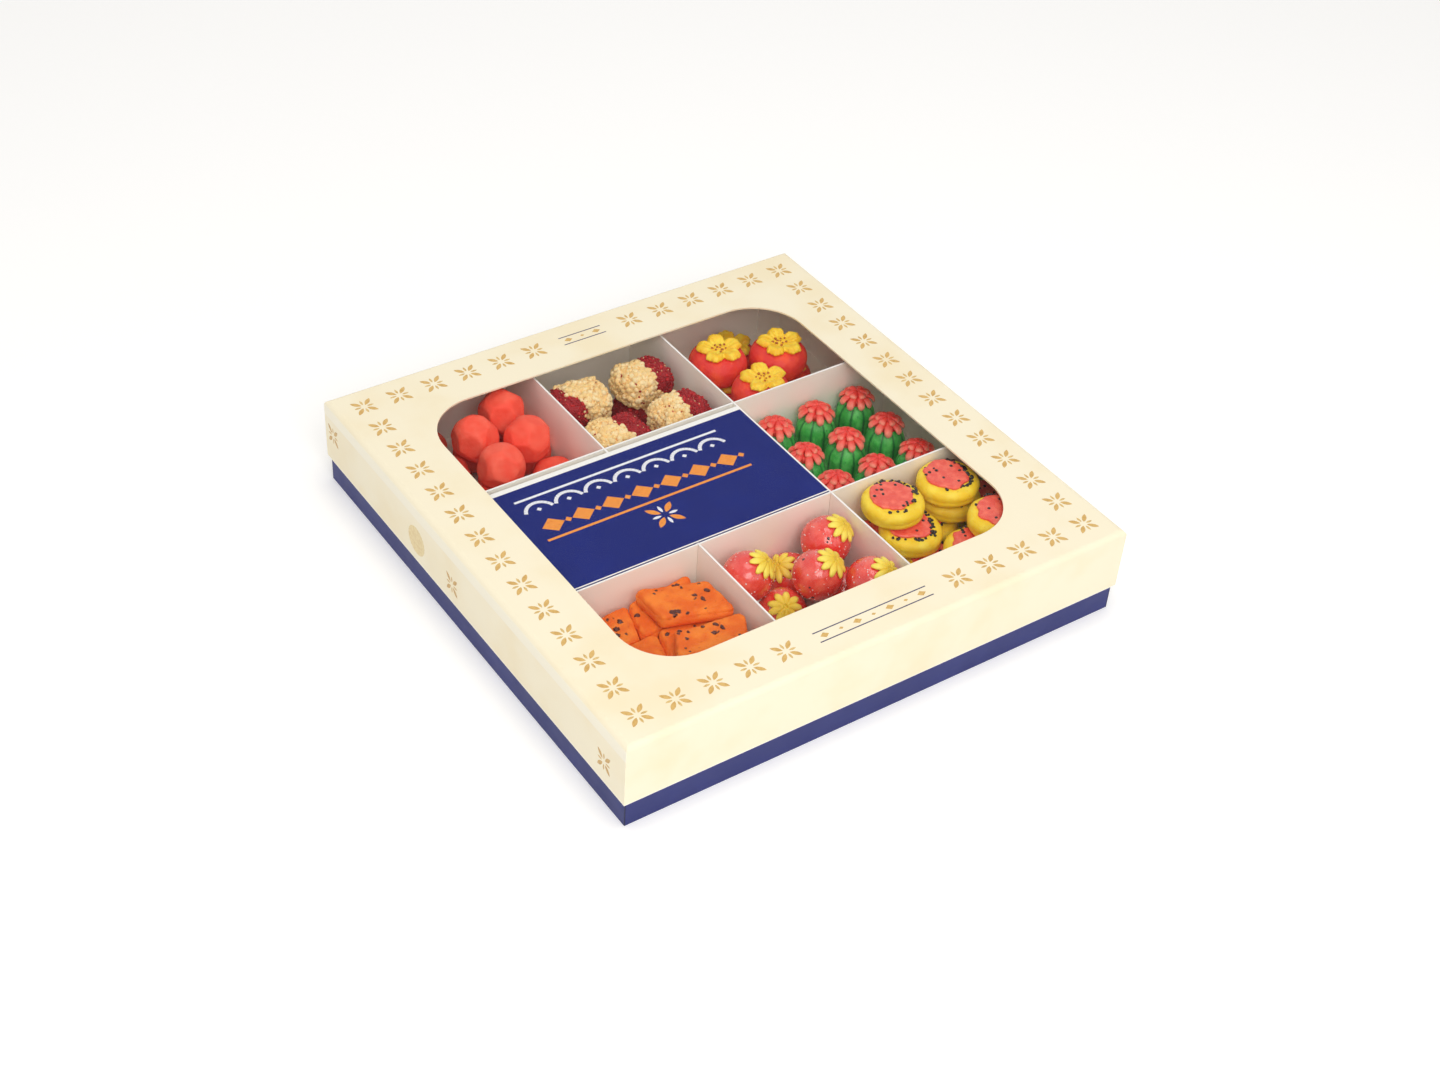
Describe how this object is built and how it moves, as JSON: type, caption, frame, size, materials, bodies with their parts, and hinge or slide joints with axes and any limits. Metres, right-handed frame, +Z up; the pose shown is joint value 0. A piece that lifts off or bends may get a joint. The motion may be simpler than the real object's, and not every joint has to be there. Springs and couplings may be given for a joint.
{
  "type": "windowed sweet box",
  "caption": "Square two-piece presentation box with a windowed lift-off lid, slotted dividers, a centre cover and small assorted sweets in the cells.",
  "frame": {"origin": "middle of the box's underside", "axes": "+X to the right along the front of the box, +Y to its back, +Z up"},
  "size_m": [0.3, 0.3, 0.052],
  "materials": {
    "lid_board": "satin laminated",
    "film": "clear film",
    "tray_board": "satin laminated outside, pale inside",
    "divider_board": "matte white",
    "cover_card": "matte printed",
    "coral": "satin",
    "crumb": "crumbly",
    "round_red": "satin",
    "flower_yellow": "matte",
    "green": "satin",
    "flower_red": "satin",
    "disc_yellow": "matte",
    "icing_pink": "glossy",
    "glazed": "glossy",
    "biscuit_orange": "baked"
  },
  "bodies": {
    "tray": {"base_tray": "tray_board", "divider_front": "divider_board", "divider_back": "divider_board", "divider_left": "divider_board", "divider_right": "divider_board", "coral_ball_1": "coral", "coral_ball_2": "coral", "coral_ball_3": "coral", "coral_ball_4": "coral", "coral_ball_bed": "coral", "crumb_cookie_1": "crumb", "crumb_cookie_2": "crumb", "crumb_cookie_3": "crumb", "crumb_cookie_4": "crumb", "crumb_cookie_bed": "crumb", "flowered_round_1": "round_red", "flowered_round_2": "round_red", "flowered_round_3": "round_red", "flowered_round_bed": "round_red", "round_flowers": "flower_yellow", "glazed_flowers": "flower_yellow", "green_sweet_1": "green", "green_sweet_2": "green", "green_sweet_3": "green", "green_sweet_4": "green", "green_sweet_5": "green", "green_sweet_6": "green", "green_sweet_7": "green", "green_sweet_8": "green", "green_sweet_9": "green", "green_sweet_flowers": "flower_red", "iced_disc_1": "disc_yellow", "iced_disc_2": "disc_yellow", "iced_disc_3": "disc_yellow", "iced_disc_4": "disc_yellow", "iced_disc_5": "disc_yellow", "iced_disc_6": "disc_yellow", "iced_disc_7": "disc_yellow", "iced_disc_bed": "disc_yellow", "disc_icing": "icing_pink", "glazed_ball_1": "glazed", "glazed_ball_2": "glazed", "glazed_ball_3": "glazed", "glazed_ball_4": "glazed", "glazed_ball_bed": "glazed", "slanted_biscuit_1": "biscuit_orange", "slanted_biscuit_2": "biscuit_orange", "slanted_biscuit_layer": "biscuit_orange", "slanted_biscuit_bed": "biscuit_orange"},
    "lid": {"lid_shell": "lid_board", "window_film": "film"},
    "cover": {"centre_cover": "cover_card"}
  },
  "joints": [
    {"name": "lid_lift", "type": "slide", "parent": "tray", "child": "lid", "axis": [0, 0, 1], "range_m": [0, 0.12]},
    {"name": "cover_lift", "type": "slide", "parent": "tray", "child": "cover", "axis": [0, 0, 1], "range_m": [0, 0.06]}
  ],
  "couplings": [
    {"joint": "cover_lift", "follows": "lid_lift", "ratio": 0.45}
  ]
}
